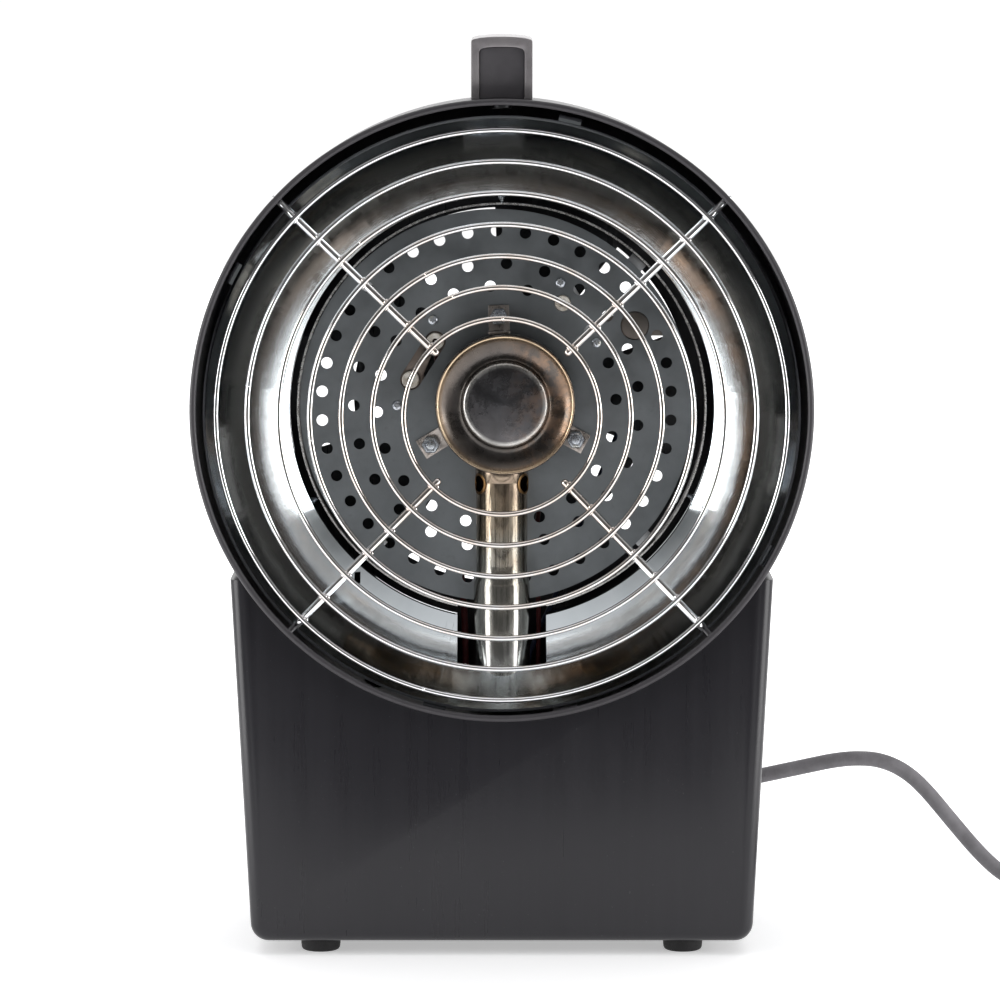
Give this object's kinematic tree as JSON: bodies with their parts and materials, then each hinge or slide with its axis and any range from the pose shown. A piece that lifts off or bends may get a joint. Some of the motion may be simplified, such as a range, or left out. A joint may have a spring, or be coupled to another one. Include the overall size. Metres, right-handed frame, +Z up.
{
  "type": "portable gas dish heater",
  "caption": "Portable gas radiant heater: round drum head with reflector, wire guard and burner on a tapered base, with carry handle, control knob, igniter and hose.",
  "frame": {"origin": "on the floor under the middle of the heater, cord left out", "axes": "+Z up, the dish faces -Y, +X to the right as seen from the front"},
  "size_m": [0.4656, 0.163, 0.4027],
  "materials": {
    "black_paint": "satin",
    "dial": "brushed",
    "zinc": "satin",
    "mirror_steel": "polished",
    "heat_black": "matte",
    "plain_steel": "brushed",
    "tinted_steel": "heat tinted",
    "chrome_wire": "polished",
    "ceramic": "glazed",
    "wire_red": "matte",
    "black_rubber": "matte",
    "silver_paint": "satin",
    "black_plastic": "matte",
    "brass": "machined",
    "white_plastic": "matte",
    "red_plastic": "gloss",
    "alu_pipe": "satin",
    "grey_rubber": "matte"
  },
  "bodies": {
    "heater": {"drum_shell": "black_paint", "drum_rear_cover": "black_paint", "rear_cover_screws": "zinc", "reflector_cone": "mirror_steel", "reflector_rivets": "zinc", "chamber_ring": "heat_black", "chamber_screws": "zinc", "plate_straps": "plain_steel", "perforated_plate": "plain_steel", "plate_screws": "zinc", "burner_cap": "tinted_steel", "burner_ports": "tinted_steel", "burner_body": "tinted_steel", "mixing_tube": "plain_steel", "burner_brackets": "tinted_steel", "bracket_nuts": "zinc", "bracket_screws": "zinc", "guard_rings": "chrome_wire", "guard_spokes": "chrome_wire", "pilot_bracket": "tinted_steel", "spark_electrode": "ceramic", "flame_electrode": "ceramic", "sensor_bracket": "plain_steel", "flame_sensor": "ceramic", "overheat_thermostat": "tinted_steel", "sensor_wires": "wire_red", "ignition_lead": "wire_red", "body_shell": "black_paint", "rear_panel": "black_paint", "rear_panel_screws": "zinc", "base_plate": "plain_steel", "rubber_feet": "black_rubber", "foot_screws": "zinc", "saddle_bolts": "zinc", "handle_frame": "silver_paint", "handle_grip": "black_plastic", "handle_bolts": "zinc", "gas_valve": "brass", "valve_nut": "zinc", "knob_spring": "zinc", "dial_plate": "dial", "piezo_igniter": "black_plastic", "piezo_nut": "zinc", "inlet_elbow": "brass", "inlet_nut": "brass", "inlet_pipe": "alu_pipe", "feed_pipe": "alu_pipe", "jet_holder": "brass", "air_shutter": "plain_steel", "tilt_switch": "black_plastic", "hose_ferrule": "zinc", "gas_hose": "grey_rubber", "gas_hose_coil": "grey_rubber", "hose_connector": "brass", "hose_tie": "black_plastic"},
    "knob_seat": {"spring_seat": "zinc"},
    "knob": {"control_knob": "black_plastic", "valve_stem": "zinc", "knob_pointer": "white_plastic"},
    "button": {"piezo_button": "red_plastic"}
  },
  "joints": [
    {"name": "knob_press", "type": "slide", "parent": "heater", "child": "knob_seat", "axis": [0, -1, 0], "range_m": [0, 0.004], "stiffness_N_per_m": 900, "springref_m": -0.003, "deforming": ["knob_spring"]},
    {"name": "knob_turn", "type": "hinge", "parent": "knob_seat", "child": "knob", "pos_m": [-0.058, 0.07, 0.062], "axis": [0, 1, 0], "range_deg": [0, 240]},
    {"name": "button_press", "type": "slide", "parent": "heater", "child": "button", "axis": [0, -1, 0], "range_m": [0, 0.006], "stiffness_N_per_m": 1200, "springref_m": -0.002}
  ]
}
